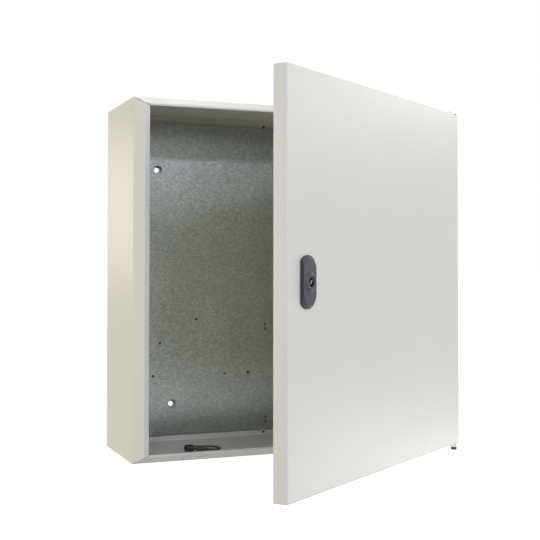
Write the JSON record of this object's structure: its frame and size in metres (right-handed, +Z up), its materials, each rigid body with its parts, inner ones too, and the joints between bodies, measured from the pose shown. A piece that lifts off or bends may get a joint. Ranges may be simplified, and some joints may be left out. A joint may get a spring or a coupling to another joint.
{
  "type": "electric meter cabinet",
  "caption": "Wall-mounted sheet-steel meter cabinet with a hinged door on a quarter-turn lock, a galvanised mounting plate inside and its key.",
  "frame": {"origin": "midway between the two upper wall holes, on the outer face of the back", "axes": "+Z up, +Y into the wall, the door faces -Y and is hinged on the +X side"},
  "size_m": [0.6015, 0.5703, 0.6179],
  "materials": {
    "cabinet_paint": "light grey textured powder coat",
    "galvanised_sheet": "galvanised with fine spangle",
    "zinc_fastener": "zinc plated",
    "hinge_steel": "bright nickel plate on turned steel",
    "dark_moulding": "moulded, matt",
    "bush_nylon": "natural nylon",
    "seal_rubber": "cellular rubber",
    "lock_grey": "fine moulded grain, satin",
    "lock_black": "satin",
    "lock_zinc": "die-cast zinc, plated",
    "key_black": "black coated zinc casting"
  },
  "bodies": {
    "cabinet": {"body_shell": "cabinet_paint", "top_panel": "cabinet_paint", "bottom_panel": "cabinet_paint", "mounting_plate": "galvanised_sheet", "plate_studs": "zinc_fastener", "plate_spacers": "zinc_fastener", "plate_washers": "zinc_fastener", "plate_nuts": "zinc_fastener", "earth_stud": "zinc_fastener", "earth_washer": "zinc_fastener", "earth_nut": "zinc_fastener", "hinge_lug_upper": "cabinet_paint", "hinge_lug_lower": "cabinet_paint", "hinge_pin_upper": "hinge_steel", "hinge_pin_lower": "hinge_steel", "hinge_clip_upper": "hinge_steel", "hinge_clip_lower": "hinge_steel", "hinge_washer": "dark_moulding", "hinge_pin_cap": "dark_moulding", "centre_plugs": "dark_moulding"},
    "door": {"door_panel": "cabinet_paint", "hinge_bush_upper": "bush_nylon", "hinge_bush_lower": "bush_nylon", "seal_strip_top": "seal_rubber", "seal_strip_bottom": "seal_rubber", "seal_strip_lock_side": "seal_rubber", "seal_strip_hinge_side": "seal_rubber", "door_earth_stud": "zinc_fastener", "door_earth_washer": "zinc_fastener", "door_earth_nut": "zinc_fastener", "lock_seal": "seal_rubber", "lock_escutcheon": "lock_grey", "lock_barrel": "lock_black", "lock_nut": "zinc_fastener"},
    "latch": {"lock_rotor": "lock_zinc", "lock_cam": "lock_zinc", "cam_washer": "zinc_fastener", "cam_screw": "zinc_fastener"},
    "key": {"double_bit_key": "key_black"}
  },
  "joints": [
    {"name": "door_hinge", "type": "hinge", "parent": "cabinet", "child": "door", "pos_m": [0.2915, -0.213, -0.198], "axis": [0, 0, 1], "range_deg": [-36.6, 83.4]},
    {"name": "latch_turn", "type": "hinge", "parent": "door", "child": "latch", "pos_m": [-0.14291, -0.53562, -0.198], "axis": [-0.5962, 0.8028, 0], "range_deg": [0, 90]},
    {"name": "key_lift", "type": "slide", "parent": "cabinet", "child": "key", "axis": [0, 0, 1], "range_m": [0, 0.05]}
  ]
}
